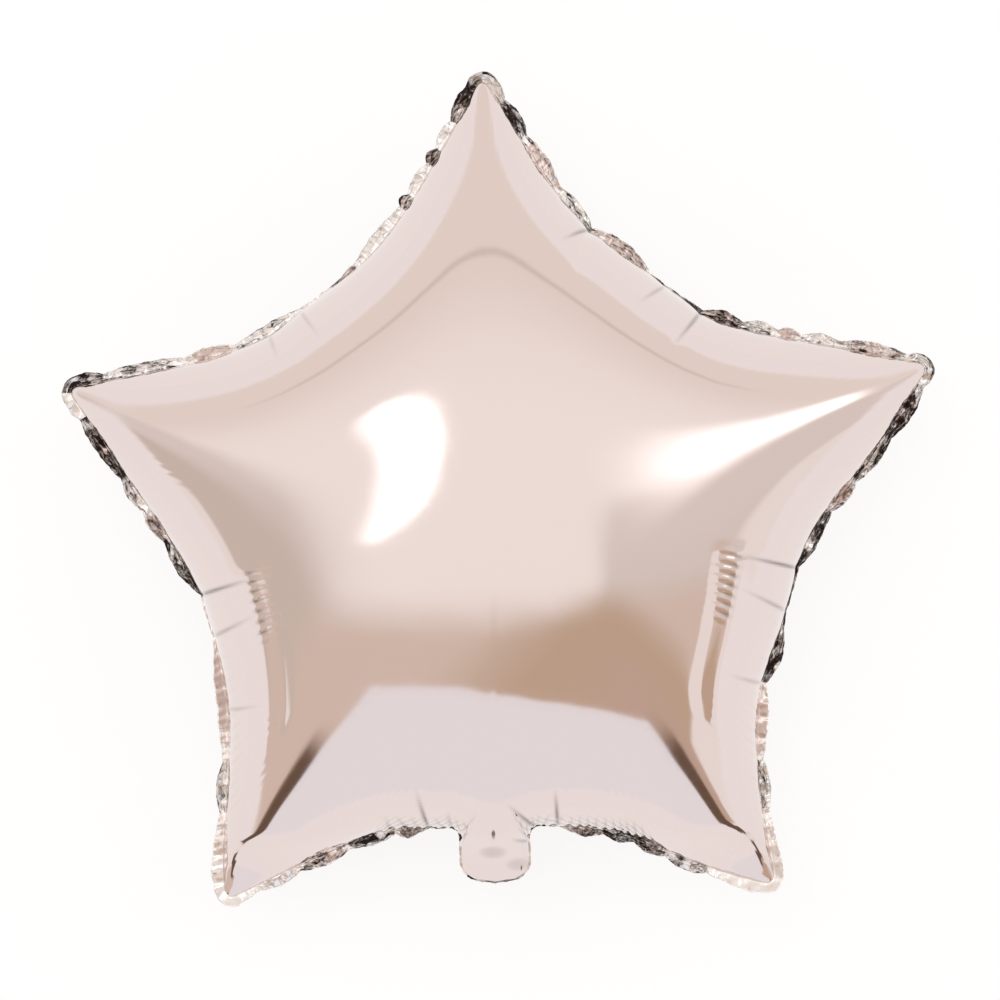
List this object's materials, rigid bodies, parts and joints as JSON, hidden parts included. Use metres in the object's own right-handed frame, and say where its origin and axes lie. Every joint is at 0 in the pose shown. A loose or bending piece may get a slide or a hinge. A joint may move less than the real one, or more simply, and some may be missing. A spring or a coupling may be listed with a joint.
{
  "type": "star foil balloon",
  "caption": "Inflated star-shaped bag of pale pink metallised film with a crumpled welded seam, gathers along the arms and a short filling tail at the foot.",
  "frame": {"origin": "middle of the small flat spot on the back panel, on which the balloon lies", "axes": "+Z out of the front panel, +Y toward the tip of the top arm, +X across the two side arms, to the right when the front panel is seen from above"},
  "size_m": [0.4326, 0.4112, 0.1453],
  "materials": {
    "metallised_film": "polished metallised film, pale champagne pink"
  },
  "bodies": {
    "root": {"foil_balloon": "metallised_film"}
  },
  "joints": []
}
